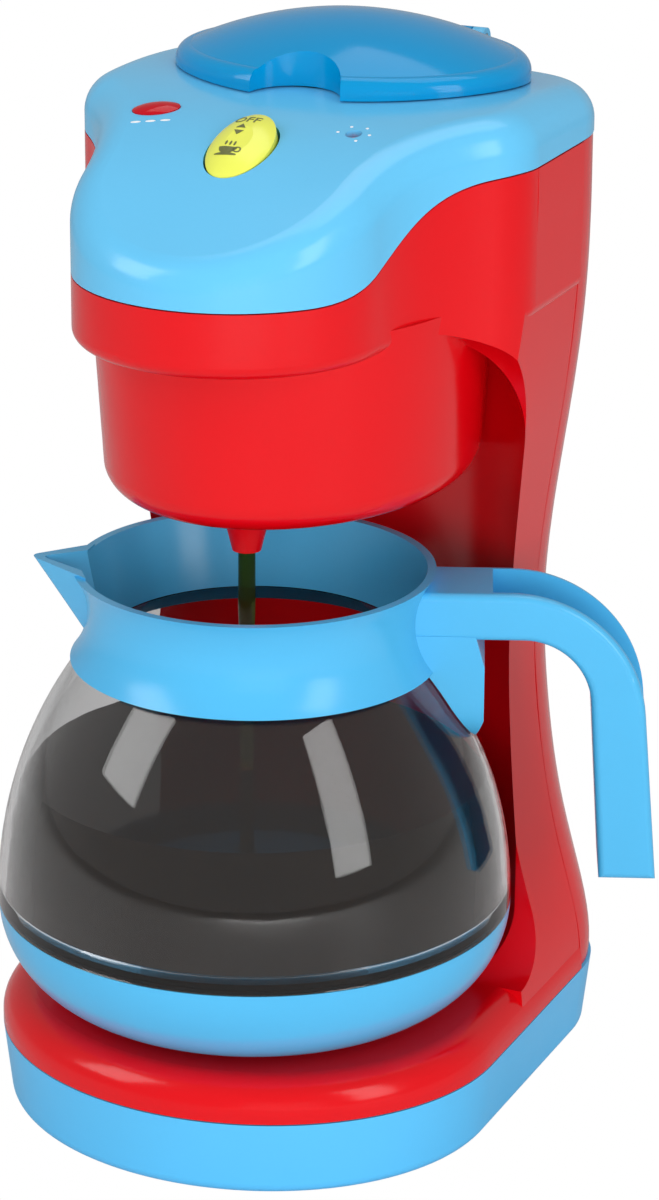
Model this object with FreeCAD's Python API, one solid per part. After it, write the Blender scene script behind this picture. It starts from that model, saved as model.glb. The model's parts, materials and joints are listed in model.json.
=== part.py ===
import FreeCAD, Part
import math
import os

# A toy coffee maker that pumps water: a round glass-look pot stands in the bay of a
# D-shaped machine. X is to the right, Y is to the back and Z is up, in millimetres.
# The origin is on the floor, under the middle of the pot.

V = FreeCAD.Vector

# Base: a tray below and the deck of the front housing above it
BASE_HALF = 58.0
BASE_FRONT = 53.0
TRAY_TOP = 18.0
TRAY_TAPER = 2.0
TRAY_EDGE = 3.0
DECK_TOP = 27.0
DECK_EDGE = 7.0
WALL = 2.4
FLOOR = 2.6
BACK = 86.0
BACK_CORNER = 29.0
SEAM = 0.3
COVER_SEAM_Y = 56.0

# Sides of the column, seen from the front: half width at each height
SIDE = [(18.0, 57.3), (30.0, 56.4), (47.0, 51.8), (72.0, 46.6), (99.0, 44.2),
        (130.0, 46.2), (160.0, 50.4), (190.0, 52.7), (222.0, 52.9)]

# Bay that the pot stands in: a round hollow about the pot's axis, open to the sides
BAY_R = 60.0
BAY_FOOT_R = 14.0
BAY_TOP = 181.0
BAY_ARCH_R = 30.0
BAY_SIDE_Y = 34.0
BAY_SIDE_FOOT_R = 14.0
BAY_SIDE_ARCH_R = 36.0
BAY_SIDE_TOP = 183.0

# Head: a round nose that widens to the column in an S
NOSE_R = 34.5
NOSE_Y = -10.0
WAIST_R = 50.0
SHOULDER_R = 18.0
SHOULDER_Y = 29.0
HEAD_HALF = 53.0
BAND_EDGE = 3.0

# Line between the housing and the top cover, low round the nose and high at the back
LINE_LOW = 195.5
LINE_HIGH = 214.5
LINE_LOW_Y = -32.0
LINE_HIGH_Y = 24.0

# Top face along the middle, before its edge is rounded: (Y, Z)
TOP = [(-58.0, 197.0), (-35.0, 208.7), (-15.0, 218.0), (0.0, 223.0), (17.0, 226.0),
       (42.0, 226.8), (96.0, 221.5)]
TOP_EDGE = 8.0
TOP_WALL = 2.2

# Brewing drum under the head, with its drip nozzle
DRUM_Y = 20.7
DRUM_HALF = 41.8
DRUM_LONG = 52.0
DRUM_BOTTOM = 143.0
DRUM_TAPER = 2.4
DRUM_EDGE = 6.0
NOZZLE_Y = -4.0
NOZZLE_TOP_R = 6.0
NOZZLE_TIP_R = 3.2
NOZZLE_TIP_Z = 131.6
NOZZLE_BORE = 1.8
NOZZLE_STEM_R = 3.6
NOZZLE_STEM_TOP = 152.0

# Lid over the water tank
LID_Y = 51.0
LID_HALF = 40.5
LID_LONG = 32.0
LID_RIM_Z = 227.2
LID_TOP_Z = 239.5
LID_WALL = 2.0
LID_SHOULDER_R = 3.5
LID_CROWN_R = 85.0
NOTCH_R = 11.0
NOTCH_Y = 17.5
HINGE_Y = 84.6
HINGE_Z = 228.4
HINGE_PIN_R = 1.2
HINGE_KNUCKLE_R = 2.6
HINGE_LUG_X = 12.0
HINGE_LUG_W = 6.0
HINGE_BRACKET_W = 3.0
TANK_Y = 53.0
TANK_HALF = 35.0
TANK_LONG = 24.3
TANK_FLOOR_Z = 193.0
TANK_WALL = 1.8
TANK_TOP_Z = 226.3
TANK_SKIRT_Z = 212.0
TANK_RIM_W = 3.2
TANK_RIM_H = 1.6

# Rocker button, in a frame that lies on the sloping panel
BUTTON_Y = -6.5
BUTTON_SLOPE = 20.0
BUTTON_LONG = 22.0
BUTTON_WIDE = 13.5
BUTTON_RISE = 2.8
BUTTON_EDGE = 0.6
BUTTON_SKIRT = 4.0
BUTTON_WELL = 6.0
BUTTON_WELL_WALL = 1.4
BUTTON_PIN_DEPTH = 2.0
BUTTON_PIN_R = 0.8
BUTTON_REST_TILT = 5.0
BUTTON_GAP = 0.55

# Signal lens and small lamp on the panel
LENS_X = -26.0
LENS_Y = 6.0
LENS_LONG = 10.4
LENS_WIDE = 6.4
LENS_TURN = 27.0
LENS_SLOPE = 12.0
LENS_RISE = 1.1
LENS_DEPTH = 3.0
LAMP_X = 21.0
LAMP_Y = 4.0
LAMP_HOLE_R = 1.8
LAMP_R = 1.5
LAMP_SUNK = 0.8
LENS_LAMP_R = 2.0

# Circuit board under the panel
BOARD_X = 29.0
BOARD_FRONT = -22.0
BOARD_BACK = 12.0
BOARD_Z = 203.0
BOARD_T = 1.6
POST_R = 2.4
POST_X = 22.0
POST_FRONT = -18.0
POST_BACK = 9.0
SWITCH_LONG = 12.0
SWITCH_WIDE = 9.0
SWITCH_STEM_R = 1.5
SWITCH_STEM = 9.0

# Pot: clear bowl, collar with spout and handle, and base cup
POT_TURN = 22.0
POT_FOOT_Z = 27.4
POT_R = 57.4
POT_LINE_Z = 50.0
POT_ARC_X = -35.6
POT_WALL = 1.7
CUP_WALL = 1.6
BOWL_TOP_Z = 110.0
COLLAR_LOW_Z = 106.0
COLLAR_LOW_R = 40.6
COLLAR_WAIST_R = 36.9
COLLAR_WAIST_Z = 114.5
COLLAR_RIM_R = 39.7
COLLAR_TOP_Z = 126.5
COLLAR_WALL = 1.9
SPOUT_TIP = 49.0
SPOUT_ROOT = 30.0
SPOUT_HALF = 18.5
SPOUT_LOW_Z = 109.0
SPOUT_LOW_HALF = 8.0
SPOUT_RISE = 1.6
SPOUT_TIP_R = 2.6
HANDLE_W = 20.0
HANDLE_TOP_Z = 124.0
HANDLE_ROOT_H = 10.6
HANDLE_REACH = 83.5
HANDLE_END_X = 89.0
HANDLE_END_Z = 58.0
HANDLE_END_T = 12.5
HANDLE_BEND_R = 30.0
HANDLE_INNER_R = 15.0
HANDLE_WALL = 2.2
HANDLE_EDGE = 1.6
HANDLE_CHANNEL_X = 52.0
HOOK_X = 50.5
HOOK_LOW_Z = 88.6
COFFEE_Z = 80.0

# Batteries, pump and tubes
CELL_R = 7.1
CELL_L = 49.0
CELL_NUB_R = 2.7
CELL_NUB_H = 1.0
CELL_PITCH = 15.0
CELL_COUNT = 3
CELL_Z = 11.6
BOX_Y = 37.0
BOX_WALL = 1.8
BOX_TOP = 21.0
DOOR_T = 1.4
DOOR_LIP = 3.0
DOOR_RIB = 2.0
DOOR_TAB_HALF = 5.0
DOOR_TAB = 8.0
DOOR_BOSS_TOP = 14.0
CONTACT_T = 0.5
SPRING_L = 3.0
PUMP_Y = 73.5
PUMP_Z = 66.0
PUMP_R = 9.6
PUMP_H = 11.0
PUMP_WALL = 1.6
MOTOR_R = 8.8
MOTOR_L = 26.0
SHAFT_R = 1.0
IMPELLER_R = 6.4
IMPELLER_H = 5.0
BLADES = 6
TUBE_R = 2.6
TUBE_BORE = 1.7
SPIGOT_BORE = 0.9
SPIGOT_L = 5.0
TUBE_X = 21.0
TUBE_RUN_Z = 187.0
TUBE_BEND_R = 7.0

# Screws, bosses and clearances
SCREW_R = 1.4
SCREW_HEAD_R = 2.6
SCREW_HEAD_H = 1.8
BOSS_R = 3.6
BASE_SCREWS = [(-37.0, -16.0), (37.0, -16.0), (-44.0, 66.0), (44.0, 66.0)]
BACK_SCREWS = [(-39.0, 58.0), (39.0, 58.0), (-46.5, 200.0), (46.5, 200.0)]
BOSS_DEPTH = 5.0
FIT = 0.1
CLEAR = 0.3

os.makedirs("parts", exist_ok=True)


def export(name, shape):
    """Write one node and say what it holds."""
    shape = shape.removeSplitter() if len(shape.Solids) == 1 else shape
    shape.exportStep("parts/" + name + ".step")
    box = shape.BoundBox
    print(name, len(shape.Solids), shape.isValid(), round(shape.Volume),
          [round(v, 1) for v in (box.XMin, box.XMax, box.YMin, box.YMax, box.ZMin, box.ZMax)])


def line(a, b):
    return Part.makeLine(a, b)


def arc(a, mid, b):
    return Part.Arc(a, mid, b).toShape()


def arc_about(cx, cy, r, start, end):
    """Arc in the XY plane about a centre, between two angles in degrees."""
    def at(deg):
        t = math.radians(deg)
        return V(cx + r * math.cos(t), cy + r * math.sin(t), 0)
    return arc(at(start), at((start + end) / 2), at(end))


def spline(points):
    curve = Part.BSplineCurve()
    curve.interpolate(points)
    return curve.toShape()


def face(edges):
    return Part.Face(Part.Wire(Part.__sortEdges__(edges)))


def fuse(shapes):
    return shapes[0].multiFuse(shapes[1:])


def box(x0, x1, y0, y1, z0, z1):
    return Part.makeBox(x1 - x0, y1 - y0, z1 - z0, V(x0, y0, z0))


def rod(r, a, b):
    """Round bar between two points."""
    return Part.makeCylinder(r, (b - a).Length, a, b - a)


def tube(r, bore, a, b):
    return rod(r, a, b).cut(rod(bore, a, b))


def oval(cx, cy, half, long, z, height):
    """Upright oval prism, half wide along X and long deep along Y."""
    if half >= long:
        curve = Part.Ellipse(V(half, 0, 0), V(0, long, 0), V(0, 0, 0))
    else:
        curve = Part.Ellipse(V(0, long, 0), V(-half, 0, 0), V(0, 0, 0))
    disc = Part.Face(Part.Wire(curve.toShape()))
    return disc.extrude(V(0, 0, height)).translate(V(cx, cy, z))


def polygon_xz(points, y0, y1):
    """Prism along Y from corners (X, Z)."""
    pts = [V(x, y0, z) for x, z in points]
    return Part.Face(Part.makePolygon(pts + pts[:1])).extrude(V(0, y1 - y0, 0))


def turned(edges):
    """Solid of revolution about Z from the edges of a profile in the XZ plane."""
    return face(edges).revolve(V(0, 0, 0), V(0, 0, 1), 360)


def turned_polygon(points):
    pts = [V(r, 0, z) for r, z in points]
    return Part.Face(Part.makePolygon(pts + pts[:1])).revolve(V(0, 0, 0), V(0, 0, 1), 360)


def rounded_path(points, radius):
    """Edges through the points, with each inner corner rounded."""
    edges = []
    start = points[0]
    for before, corner, after in zip(points, points[1:], points[2:]):
        a = (before - corner).normalize()
        b = (after - corner).normalize()
        half = a.getAngle(b) / 2
        reach = radius / math.tan(half)
        middle = corner + (a + b).normalize() * (radius / math.sin(half) - radius)
        edges.append(line(start, corner + a * reach))
        edges.append(arc(corner + a * reach, middle, corner + b * reach))
        start = corner + b * reach
    edges.append(line(start, points[-1]))
    return edges


def hose(points, bend, r, bore):
    """Tube along a rounded path."""
    wire = Part.Wire(rounded_path(points, bend))
    way = points[1] - points[0]
    rings = [Part.Wire(Part.makeCircle(radius, points[0], way)) for radius in (r, bore)]
    outer = wire.makePipeShell([rings[0]], True, False)
    return outer.cut(wire.makePipeShell([rings[1]], True, False))


def edges_above(shape, z):
    return [e for e in shape.Edges if e.BoundBox.ZMin > z]


def edges_below(shape, z):
    return [e for e in shape.Edges if e.BoundBox.ZMax < z]


# The machine's outlines

def base_plan(inset, z):
    """D-shaped outline of the base: round front, straight sides, round back corners."""
    half = BASE_HALF - inset
    front = BASE_FRONT - inset
    r = BACK_CORNER - inset
    corner_y = BACK - BACK_CORNER
    if half >= front:
        curve = Part.Ellipse(V(half, 0, 0), V(0, front, 0), V(0, 0, 0))
        nose = Part.ArcOfEllipse(curve, math.pi, 2 * math.pi).toShape()
    else:
        curve = Part.Ellipse(V(0, -front, 0), V(half, 0, 0), V(0, 0, 0))
        nose = Part.ArcOfEllipse(curve, -math.pi / 2, math.pi / 2).toShape()
    edges = [nose,
             line(V(half, 0, 0), V(half, corner_y, 0)),
             arc_about(half - r, corner_y, r, 0, 90),
             line(V(half - r, corner_y + r, 0), V(r - half, corner_y + r, 0)),
             arc_about(r - half, corner_y, r, 90, 180),
             line(V(-half, corner_y, 0), V(-half, 0, 0))]
    wire = Part.Wire(Part.__sortEdges__(edges))
    wire.translate(V(0, 0, z))
    return wire


def head_plan(inset, z):
    """Outline of the head: nose, waist, shoulder, side and back corner, mirrored."""
    nose = V(0, NOSE_Y, 0)
    shoulder = V(HEAD_HALF - SHOULDER_R, SHOULDER_Y, 0)
    span = (shoulder - nose).Length
    u = (shoulder - nose).normalize()
    n = V(u.y, -u.x, 0)
    to_nose = NOSE_R + WAIST_R
    to_shoulder = SHOULDER_R + WAIST_R
    along = (to_nose ** 2 - to_shoulder ** 2 + span ** 2) / (2 * span)
    waist = nose + u * along + n * math.sqrt(to_nose ** 2 - along ** 2)
    r_nose = NOSE_R - inset
    r_waist = WAIST_R + inset
    r_shoulder = SHOULDER_R - inset
    r_corner = BACK_CORNER - inset
    half = HEAD_HALF - inset
    corner_y = BACK - BACK_CORNER

    def angle(a, b):
        return math.degrees(math.atan2(b.y - a.y, b.x - a.x))

    a0 = angle(nose, waist)
    a1 = angle(waist, nose) % 360
    a2 = angle(waist, shoulder) % 360
    a3 = angle(shoulder, waist)
    right = [arc_about(waist.x, waist.y, r_waist, a1, a2),
             arc_about(shoulder.x, shoulder.y, r_shoulder, a3, 0),
             line(V(half, SHOULDER_Y, 0), V(half, corner_y, 0)),
             arc_about(half - r_corner, corner_y, r_corner, 0, 90)]
    left = [e.mirror(V(0, 0, 0), V(1, 0, 0)) for e in right]
    front = arc_about(0, NOSE_Y, r_nose, -180 - a0, a0)
    back_y = corner_y + r_corner
    back = line(V(half - r_corner, back_y, 0), V(r_corner - half, back_y, 0))
    wire = Part.Wire(Part.__sortEdges__([front, back] + right + left))
    wire.translate(V(0, 0, z))
    return wire


def prism(wire, height):
    return Part.Face(wire).extrude(V(0, 0, height))


def side_solid(inset, y0, y1):
    """All that lies between the column's curved sides."""
    right = [V(half - inset, y0, z) for z, half in SIDE]
    left = [V(-p.x, p.y, p.z) for p in right]
    edges = [spline(right), spline(left), line(right[0], left[0]), line(right[-1], left[-1])]
    return face(edges).extrude(V(0, y1 - y0, 0))


def round_bay(grow):
    """The round hollow that the pot stands in, grown by a wall for the inside."""
    r = BAY_R + grow
    low = DECK_TOP - grow
    high = BAY_TOP + grow
    corners = [V(0, 0, low), V(r, 0, low), V(r, 0, high), V(0, 0, high)]
    foot = BAY_FOOT_R + grow
    arch = BAY_ARCH_R + grow
    s = math.sqrt(0.5)
    edges = [line(corners[0], V(r - foot, 0, low)),
             arc(V(r - foot, 0, low), V(r - foot + foot * s, 0, low + foot - foot * s),
                 V(r, 0, low + foot)),
             line(V(r, 0, low + foot), V(r, 0, high - arch)),
             arc(V(r, 0, high - arch), V(r - arch + arch * s, 0, high - arch + arch * s),
                 V(r - arch, 0, high)),
             line(V(r - arch, 0, high), corners[3]),
             line(corners[3], corners[0])]
    return turned(edges)


def side_bay(grow):
    """The bay's opening to both sides, grown by a wall for the inside."""
    low = DECK_TOP - grow
    s = math.sqrt(0.5)
    y = BAY_SIDE_Y + grow
    top = BAY_SIDE_TOP + grow
    foot = BAY_SIDE_FOOT_R + grow
    arch = BAY_SIDE_ARCH_R + grow
    front = -BASE_FRONT - 20
    x = -BASE_HALF - 20
    edges = [line(V(x, front, low), V(x, y - foot, low)),
             arc(V(x, y - foot, low), V(x, y - foot + foot * s, low + foot - foot * s),
                 V(x, y, low + foot)),
             line(V(x, y, low + foot), V(x, y, top - arch)),
             arc(V(x, y, top - arch), V(x, y - arch + arch * s, top - arch + arch * s),
                 V(x, y - arch, top)),
             line(V(x, y - arch, top), V(x, front, top)),
             line(V(x, front, top), V(x, front, low))]
    return face(edges).extrude(V(-2 * x, 0, 0))


def clear_bay(body, grow):
    return body.cut(round_bay(grow)).cut(side_bay(grow))


def drum(inset):
    """Oval brewing drum that narrows downwards."""
    low = DRUM_BOTTOM + inset
    high = BAY_TOP + 5
    slope = DRUM_TAPER / (BAY_TOP - DRUM_BOTTOM)

    def ring(z):
        less = inset + slope * (BAY_TOP - z)
        half = DRUM_HALF - less
        long = DRUM_LONG - less
        curve = Part.Ellipse(V(0, long, 0), V(-half, 0, 0), V(0, 0, 0))
        wire = Part.Wire(curve.toShape())
        wire.translate(V(0, DRUM_Y, z))
        return wire

    body = Part.makeLoft([ring(low), ring(high)], True, True)
    return body.makeFillet(max(DRUM_EDGE - inset, 1.0), edges_below(body, low + 0.1))


def under_line(shift):
    """All that lies under the line between the housing and the top cover."""
    x = -HEAD_HALF - 20
    front = NOSE_Y - NOSE_R - 30
    back = BACK + 20
    low = LINE_LOW + shift
    high = LINE_HIGH + shift
    mid = (LINE_LOW_Y + LINE_HIGH_Y) / 2
    rise = Part.BezierCurve()
    rise.setPoles([V(x, LINE_LOW_Y, low), V(x, mid, low), V(x, mid, high),
                   V(x, LINE_HIGH_Y, high)])
    edges = [line(V(x, front, low), V(x, LINE_LOW_Y, low)),
             rise.toShape(),
             line(V(x, LINE_HIGH_Y, high), V(x, back, high)),
             line(V(x, back, high), V(x, back, 0)),
             line(V(x, back, 0), V(x, front, 0)),
             line(V(x, front, 0), V(x, front, low))]
    return face(edges).extrude(V(-2 * x, 0, 0))


def under_top(drop):
    """All that lies under the top face."""
    x = -HEAD_HALF - 20
    pts = [V(x, y, z - drop) for y, z in TOP]
    low = 150.0
    edges = [spline(pts),
             line(pts[-1], V(x, pts[-1].y, low)),
             line(V(x, pts[-1].y, low), V(x, pts[0].y, low)),
             line(V(x, pts[0].y, low), pts[0])]
    return face(edges).extrude(V(-2 * x, 0, 0))


def top_z(y):
    """Height of the top face at a place along the middle."""
    wall = Part.makeLine(V(0, y, 150), V(0, y, 260))
    cut = under_top(0).common(wall)
    return cut.BoundBox.ZMax


def before(y):
    return box(-100, 100, -120, y, -5, 260)


# Base tray

def cells_half():
    """Half the room that the row of batteries takes, along X and along Y."""
    along = CELL_L + CELL_NUB_H + SPRING_L + 2 * CONTACT_T + 2 * FIT
    return along / 2, CELL_COUNT * CELL_PITCH / 2


def box_about(hx, hy, z0, z1):
    """Box about the middle of the batteries."""
    return box(-hx, hx, BOX_Y - hy, BOX_Y + hy, z0, z1)


def door_screw_y():
    return BOX_Y + cells_half()[1] + DOOR_LIP + DOOR_TAB / 2


def door_plan(grow, z0, z1):
    """The battery door with the tab that its screw goes through."""
    hx, hy = cells_half()
    plate = box_about(hx + DOOR_LIP + grow, hy + DOOR_LIP + grow, z0, z1)
    tab_y = BOX_Y + hy + DOOR_LIP
    half = DOOR_TAB_HALF + grow
    return plate.fuse(box(-half, half, tab_y - 1, tab_y + DOOR_TAB + grow, z0, z1))


def base_tray():
    outer = Part.makeLoft([base_plan(TRAY_TAPER, 0), base_plan(0, TRAY_TOP - SEAM)], True, True)
    outer = outer.makeFillet(TRAY_EDGE, edges_below(outer, 0.1))
    inner = Part.makeLoft([base_plan(TRAY_TAPER + WALL, FLOOR),
                           base_plan(WALL, TRAY_TOP + 1)], True, True)
    bosses = [rod(BOSS_R, V(x, y, FLOOR - 1), V(x, y, TRAY_TOP - SEAM))
              for x, y in BASE_SCREWS]
    y = door_screw_y()
    bosses.append(rod(BOSS_R, V(0, y, FLOOR - 1), V(0, y, DOOR_BOSS_TOP)))
    tray = fuse([outer.cut(inner)] + bosses)
    for x, y in BASE_SCREWS:
        tray = tray.cut(rod(SCREW_R + FIT, V(x, y, -1), V(x, y, TRAY_TOP + 1)))
        tray = tray.cut(rod(SCREW_HEAD_R + FIT, V(x, y, -1), V(x, y, SCREW_HEAD_H + 1)))
    tray = tray.cut(door_plan(FIT, -1, DOOR_T))
    y = door_screw_y()
    tray = tray.cut(rod(SCREW_R + FIT, V(0, y, 0), V(0, y, DOOR_BOSS_TOP - 2)))
    hx, hy = cells_half()
    return tray.cut(box_about(hx, hy, -1, FLOOR + 1))


export("base_tray", base_tray())


# Front housing: deck, column front, head band and drum in one shell

def housing_solid(inset):
    """The front housing's outer form, or its hollow when inset by the wall."""
    deck_edge = DECK_EDGE - inset
    plan = base_plan(inset, TRAY_TOP if inset == 0 else TRAY_TOP - 2)
    deck = prism(plan, DECK_TOP - inset - plan.BoundBox.ZMin)
    deck = deck.makeFillet(deck_edge, edges_above(deck, DECK_TOP - inset - 0.1))
    back = COVER_SEAM_Y + (0 if inset == 0 else 2)
    foot = side_solid(inset, BAY_SIDE_Y - BAY_SIDE_FOOT_R + inset, back)
    column = foot.cut(box(-100, 100, -100, SHOULDER_Y + inset, (DECK_TOP + BAY_TOP) / 2, 260))
    arch = prism(head_plan(inset, 140), BAY_TOP + 6 - 140)
    arch = arch.common(side_solid(inset, -6, back))
    body = clear_bay(fuse([column, arch]), inset)
    low = BAY_TOP + inset
    band = prism(head_plan(inset, low), LINE_HIGH + 6 - low)
    band = band.makeFillet(max(BAND_EDGE - inset, 1.0), edges_below(band, low + 0.1))
    whole = fuse([deck, body, band, drum(inset)])
    return whole.common(before(back))


def front_housing():
    shell = housing_solid(0).cut(housing_solid(WALL))
    shell = shell.common(under_line(-SEAM / 2))
    bulge = round_bay(WALL).cut(round_bay(0))
    bulge = bulge.common(box(-BAY_R, BAY_R, COVER_SEAM_Y - 1, BACK, TRAY_TOP, BAY_TOP))
    shell = shell.fuse(bulge)
    bosses = []
    for x, y in BASE_SCREWS:
        if y < COVER_SEAM_Y:
            bosses.append(rod(BOSS_R, V(x, y, TRAY_TOP), V(x, y, DECK_TOP - WALL + 0.5)))
    for x, z in BACK_SCREWS:
        depth = BOSS_DEPTH
        start = V(x, COVER_SEAM_Y - depth, z)
        bosses.append(rod(BOSS_R, start, V(x, COVER_SEAM_Y, z)))
        rib_end = math.copysign(HEAD_HALF, x) if z > BAY_TOP else math.copysign(BASE_HALF, x)
        x0, x1 = sorted((x, rib_end))
        rib = box(x0, x1, COVER_SEAM_Y - depth, COVER_SEAM_Y, z - 1, z + 1)
        bosses.append(rib.common(side_solid(1, 0, BACK)))
    shell = fuse([shell] + bosses)
    for x, y in BASE_SCREWS:
        shell = shell.cut(rod(SCREW_R + FIT, V(x, y, 0), V(x, y, DECK_TOP - WALL)))
    for x, z in BACK_SCREWS:
        shell = shell.cut(rod(SCREW_R + FIT, V(x, COVER_SEAM_Y - BOSS_DEPTH + 1, z),
                              V(x, BACK, z)))
    hole = rod(NOZZLE_STEM_R + FIT, V(0, NOZZLE_Y, DRUM_BOTTOM - 1),
               V(0, NOZZLE_Y, DRUM_BOTTOM + 10))
    return shell.cut(hole)


export("front_housing", front_housing())


# Rear cover of the column, with the cradle that holds the pump's motor

def rear_solid(inset):
    front = COVER_SEAM_Y + (SEAM if inset == 0 else -1)
    corner_y = BACK - BACK_CORNER
    r = BACK_CORNER - inset
    rings = []
    for z, half in SIDE:
        w = half - inset
        edges = [line(V(w, front, 0), V(w, corner_y, 0)),
                 arc_about(w - r, corner_y, r, 0, 90),
                 line(V(w - r, corner_y + r, 0), V(r - w, corner_y + r, 0)),
                 arc_about(r - w, corner_y, r, 90, 180),
                 line(V(-w, corner_y, 0), V(-w, front, 0)),
                 line(V(-w, front, 0), V(w, front, 0))]
        wire = Part.Wire(edges)
        wire.translate(V(0, 0, z))
        rings.append(wire)
    body = Part.makeLoft(rings, True, False)
    return body.common(box(-100, 100, 0, 200, TRAY_TOP, LINE_HIGH - SEAM / 2))


def rear_cover():
    outer = rear_solid(0)
    shell = outer.cut(rear_solid(WALL))
    extra = []
    for x, z in BACK_SCREWS:
        boss = rod(BOSS_R, V(x, COVER_SEAM_Y + SEAM, z), V(x, BACK, z))
        extra.append(boss.common(outer))
    for x, y in BASE_SCREWS:
        if y > COVER_SEAM_Y:
            extra.append(rod(BOSS_R, V(x, y, TRAY_TOP), V(x, y, DECK_TOP)))
            x0, x1 = sorted((x, math.copysign(BASE_HALF, x)))
            rib = box(x0, x1, y - 1, y + 1, TRAY_TOP, DECK_TOP)
            extra.append(rib.common(rear_solid(1)))
    cradle = box(-MOTOR_R - 2, MOTOR_R + 2, PUMP_Y, BACK - WALL / 2,
                 PUMP_Z - MOTOR_L + 3, PUMP_Z - 4)
    shell = fuse([shell] + extra + [cradle])
    shell = shell.cut(rod(MOTOR_R + FIT, V(0, PUMP_Y, 0), V(0, PUMP_Y, PUMP_Z)))
    for x, z in BACK_SCREWS:
        y = COVER_SEAM_Y + BOSS_DEPTH
        shell = shell.cut(rod(SCREW_R + FIT, V(x, 0, z), V(x, BACK + 1, z)))
        shell = shell.cut(rod(SCREW_HEAD_R + FIT, V(x, y, z), V(x, BACK + 1, z)))
    for x, y in BASE_SCREWS:
        shell = shell.cut(rod(SCREW_R + FIT, V(x, y, 0), V(x, y, DECK_TOP - 1)))
    return shell


export("rear_cover", rear_cover())


# Things let into the sloping panel are made flat and laid on it

def on_panel(shape, x, y, slope, turn=0.0):
    """Lay a flat piece on the top face at a place, tilted by the panel's slope."""
    tilt = FreeCAD.Rotation(V(1, 0, 0), slope)
    spin = FreeCAD.Rotation(V(0, 0, 1), turn)
    place = FreeCAD.Placement(V(x, y, top_z(y)), tilt.multiply(spin))
    moved = shape.copy()
    moved.transformShape(place.toMatrix())
    return moved


def domed_oval(half, long, depth, edge, rise):
    """Oval plug with a domed top: its edge and crown stand at two heights."""
    swell = 1.3
    sink = 3.0
    drop = math.sqrt(1 - 1 / swell ** 2)
    ball_h = (rise - edge) / (1 - drop)
    ball = Part.makeSphere(1.0)
    matrix = FreeCAD.Matrix()
    matrix.scale(V(half * swell, long * swell, ball_h))
    ball = ball.transformGeometry(matrix).translate(V(0, 0, rise - ball_h))
    low = min(rise - ball_h, 0)
    top = oval(0, 0, half, long, low, rise + sink).common(ball)
    return oval(0, 0, half, long, -depth, depth + low).fuse(top)


# Top cover: panel, button well, holes for lens and lamp, tank skirt, hinge brackets

def top_solid(inset):
    body = prism(head_plan(inset, LINE_LOW - 6), 60).common(under_top(inset))
    return body.makeFillet(TOP_EDGE - inset, edges_above(body, LINE_LOW))


def button_well(grow):
    return oval(0, 0, BUTTON_WIDE / 2 + grow, BUTTON_LONG / 2 + grow, -BUTTON_WELL, 20)


def button_pin(r, half):
    return rod(r, V(-half, 0, -BUTTON_PIN_DEPTH), V(half, 0, -BUTTON_PIN_DEPTH))


def hinge_spans(half, grow):
    """X spans of the two lid lugs, or of the brackets beside them."""
    return [(s * HINGE_LUG_X - half - grow, s * HINGE_LUG_X + half + grow) for s in (-1, 1)]


def top_cover():
    outer = top_solid(0)
    cover = outer.cut(top_solid(TOP_WALL)).cut(under_line(SEAM / 2))
    well = on_panel(button_well(BUTTON_GAP + BUTTON_WELL_WALL), 0, BUTTON_Y, BUTTON_SLOPE)
    skirt = oval(0, TANK_Y, TANK_HALF + FIT + TANK_WALL, TANK_LONG + FIT + TANK_WALL,
                 TANK_SKIRT_Z, 40)
    extra = [well.common(outer), skirt.common(outer)]
    for x in (-POST_X, POST_X):
        for y in (POST_FRONT, POST_BACK):
            post = rod(POST_R, V(x, y, BOARD_Z + BOARD_T), V(x, y, 240))
            extra.append(post.common(outer))
    outside = HINGE_LUG_X + HINGE_LUG_W / 2 + CLEAR
    for s in (-1, 1):
        x0, x1 = sorted((s * outside, s * (outside + HINGE_BRACKET_W)))
        foot = box(x0, x1, HINGE_Y - HINGE_KNUCKLE_R, BACK - 0.8, LINE_HIGH + 1, HINGE_Z)
        extra.append(foot)
        extra.append(rod(HINGE_KNUCKLE_R, V(x0, HINGE_Y, HINGE_Z), V(x1, HINGE_Y, HINGE_Z)))
    cover = fuse([cover] + extra)
    cover = cover.cut(on_panel(button_well(BUTTON_GAP), 0, BUTTON_Y, BUTTON_SLOPE))
    cover = cover.cut(on_panel(button_pin(BUTTON_PIN_R + FIT, BUTTON_WIDE),
                               0, BUTTON_Y, BUTTON_SLOPE))
    lens = oval(0, 0, LENS_LONG / 2 + FIT, LENS_WIDE / 2 + FIT, -10, 20)
    cover = cover.cut(on_panel(lens, LENS_X, LENS_Y, LENS_SLOPE, LENS_TURN))
    cover = cover.cut(rod(LAMP_HOLE_R, V(LAMP_X, LAMP_Y, BOARD_Z), V(LAMP_X, LAMP_Y, 240)))
    cover = cover.cut(oval(0, TANK_Y, TANK_HALF + FIT, TANK_LONG + FIT, TANK_SKIRT_Z - 1, 40))
    return cover.cut(rod(HINGE_PIN_R + FIT, V(-60, HINGE_Y, HINGE_Z), V(60, HINGE_Y, HINGE_Z)))


export("top_cover", top_cover())


# Water tank under the lid

def water_tank():
    low = TANK_FLOOR_Z - TANK_WALL
    cup = oval(0, TANK_Y, TANK_HALF, TANK_LONG, low, TANK_TOP_Z - low)
    rim = oval(0, TANK_Y, TANK_HALF + TANK_RIM_W, TANK_LONG + TANK_RIM_W,
               TANK_SKIRT_Z - TANK_RIM_H, TANK_RIM_H)
    spigot = rod(TUBE_BORE - FIT, V(0, PUMP_Y, low - SPIGOT_L), V(0, PUMP_Y, low + 1))
    tank = fuse([cup, rim, spigot])
    tank = tank.cut(oval(0, TANK_Y, TANK_HALF - TANK_WALL, TANK_LONG - TANK_WALL,
                         TANK_FLOOR_Z, 60))
    return tank.cut(rod(SPIGOT_BORE, V(0, PUMP_Y, low - SPIGOT_L - 1), V(0, PUMP_Y, 200)))


export("water_tank", water_tank())


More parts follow.
